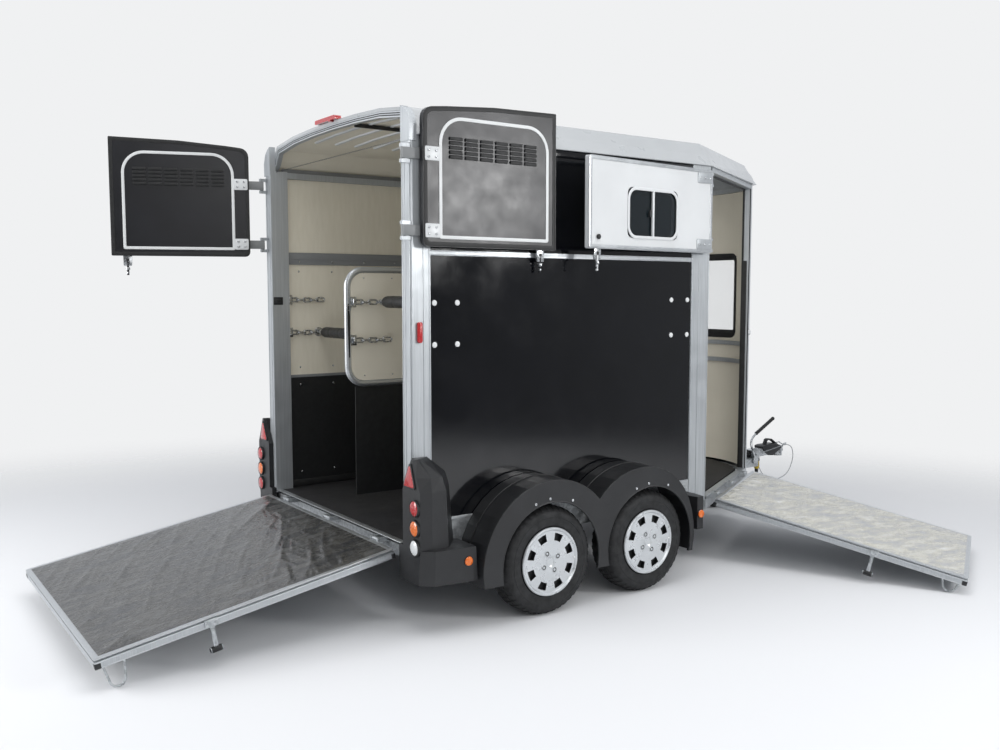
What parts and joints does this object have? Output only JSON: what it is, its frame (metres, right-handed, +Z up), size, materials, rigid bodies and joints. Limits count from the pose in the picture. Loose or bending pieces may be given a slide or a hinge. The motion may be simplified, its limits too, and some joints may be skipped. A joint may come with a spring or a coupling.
{
  "type": "horse trailer",
  "caption": "Twin-axle two-horse trailer with rear and side ramps, hinged upper doors, groom's door, centre partition, padded bars, drawbar coupling and swivelling jockey wheel",
  "frame": {"origin": "middle of the underside of the bounding box, measured without the breakaway cable, on the floor under the trailer", "axes": "+X forward to the coupling, +Y to the trailer's left, +Z up"},
  "size_m": [5.6435, 3.4104, 2.6873],
  "materials": {
    "galvanised_steel": "galvanised",
    "bright_steel": "plated",
    "bar_padding": "soft foam cover",
    "black_panel": "high gloss",
    "black_plastic": "moulded, satin",
    "floor_covering": "matt",
    "aluminium": "brushed aluminium, grey",
    "tinted_glass": "clear",
    "tyre_rubber": "matt",
    "beige_lining": "satin sheet",
    "white_door_sheet": "satin",
    "grained_black_door": "grained",
    "protective_film": "thin clear film, wrinkled",
    "silver_hubcap": "silver paint",
    "roof_moulding": "satin moulding",
    "red_lens": "moulded lens"
  },
  "bodies": {
    "trailer": {"axle_front": "galvanised_steel", "axle_rear": "galvanised_steel", "breakaway_cable": "bright_steel", "breast_bar_left": "bar_padding", "breast_bar_right": "bar_padding", "breech_bar_left": "bar_padding", "breech_bar_right": "bar_padding", "chain_partition_lower": "bright_steel", "chain_partition_upper": "bright_steel", "chain_wall_lower": "bright_steel", "chain_wall_upper": "bright_steel", "chamfer_panel_left": "black_panel", "chassis": "galvanised_steel", "coupling_head": "black_plastic", "floor": "floor_covering", "front_frame": "aluminium", "handbrake_lever": "black_plastic", "jockey_stem": "galvanised_steel", "lamp_cluster_left": "black_plastic", "lamp_cluster_right": "black_plastic", "lining_left": "beige_lining", "lining_right": "beige_lining", "lower_panel_left": "black_panel", "lower_panel_right": "black_panel", "mudguard_left": "black_plastic", "mudguard_right": "black_plastic", "nose_panel": "black_panel", "nose_window": "tinted_glass", "partition_frame": "aluminium", "partition_panel": "white_door_sheet", "partition_skirt": "bar_padding", "rear_header": "aluminium", "reflector_block_left": "black_plastic", "reflector_block_right": "black_plastic", "roof": "roof_moulding", "roof_marker_lamp": "red_lens", "side_frame_left": "aluminium", "side_frame_right": "aluminium", "upper_panel_left": "black_panel", "upper_panel_right": "black_panel"},
    "groom_door_body": {"groom_door": "black_panel", "groom_door_window": "tinted_glass"},
    "jockey_fork_body": {"jockey_fork": "galvanised_steel"},
    "jockey_wheel_body": {"jockey_wheel": "tyre_rubber"},
    "rear_door_left_body": {"rear_door_left": "grained_black_door"},
    "rear_door_right_body": {"rear_door_right": "grained_black_door"},
    "rear_ramp_body": {"rear_ramp": "aluminium", "rear_ramp_film": "protective_film"},
    "wheel_left_front": {"rim_left_front": "silver_hubcap", "tyre_left_front": "tyre_rubber"},
    "wheel_left_rear": {"rim_left_rear": "silver_hubcap", "tyre_left_rear": "tyre_rubber"},
    "wheel_right_front": {"rim_right_front": "silver_hubcap", "tyre_right_front": "tyre_rubber"},
    "wheel_right_rear": {"rim_right_rear": "silver_hubcap", "tyre_right_rear": "tyre_rubber"},
    "side_door_body": {"side_door_window": "tinted_glass", "side_top_door": "white_door_sheet"},
    "side_ramp_body": {"side_ramp": "aluminium", "side_ramp_film": "protective_film"}
  },
  "joints": [
    {"name": "wheel_left_rear_spin", "type": "hinge", "parent": "trailer", "child": "wheel_left_rear", "pos_m": [-0.53819, 1.52657, 0.2915], "axis": [0, 1, 0], "continuous": true},
    {"name": "wheel_left_front_spin", "type": "hinge", "parent": "trailer", "child": "wheel_left_front", "pos_m": [0.16881, 1.52657, 0.2915], "axis": [0, 1, 0], "continuous": true},
    {"name": "wheel_right_rear_spin", "type": "hinge", "parent": "trailer", "child": "wheel_right_rear", "pos_m": [-0.53819, -0.47343, 0.2915], "axis": [0, 1, 0], "continuous": true},
    {"name": "wheel_right_front_spin", "type": "hinge", "parent": "trailer", "child": "wheel_right_front", "pos_m": [0.16881, -0.47343, 0.2915], "axis": [0, 1, 0], "continuous": true},
    {"name": "rear_ramp_hinge", "type": "hinge", "parent": "trailer", "child": "rear_ramp_body", "pos_m": [-1.27819, 0.52657, 0.41], "axis": [0, 1, 0], "range_deg": [0, 99.9]},
    {"name": "side_ramp_hinge", "type": "hinge", "parent": "trailer", "child": "side_ramp_body", "pos_m": [1.36748, -0.16616, 0.42], "axis": [-0.8846, -0.4664, 0], "range_deg": [0, 102.2]},
    {"name": "rear_door_right_hinge", "type": "hinge", "parent": "trailer", "child": "rear_door_right_body", "pos_m": [-1.28019, -0.37943, 0], "axis": [0, 0, -1], "range_deg": [0, 270]},
    {"name": "rear_door_left_hinge", "type": "hinge", "parent": "trailer", "child": "rear_door_left_body", "pos_m": [-1.28019, 1.43257, 0], "axis": [0, 0, 1], "range_deg": [-160.3, 109.7]},
    {"name": "side_top_door_hinge", "type": "hinge", "parent": "trailer", "child": "side_door_body", "pos_m": [0.85581, -0.40541, 0], "axis": [0, 0, 1], "range_deg": [-5, 202.1]},
    {"name": "groom_door_hinge", "type": "hinge", "parent": "trailer", "child": "groom_door_body", "pos_m": [1.70747, 1.01291, 0], "axis": [0, 0, 1], "range_deg": [-100, 0]},
    {"name": "jockey_swivel", "type": "hinge", "parent": "trailer", "child": "jockey_fork_body", "pos_m": [2.1718, 0.67667, 0.2247], "axis": [0, 0, 1], "continuous": true},
    {"name": "jockey_wheel_spin", "type": "hinge", "parent": "jockey_fork_body", "child": "jockey_wheel_body", "pos_m": [2.14181, 0.67667, 0.1], "axis": [0, 1, 0], "continuous": true}
  ]
}
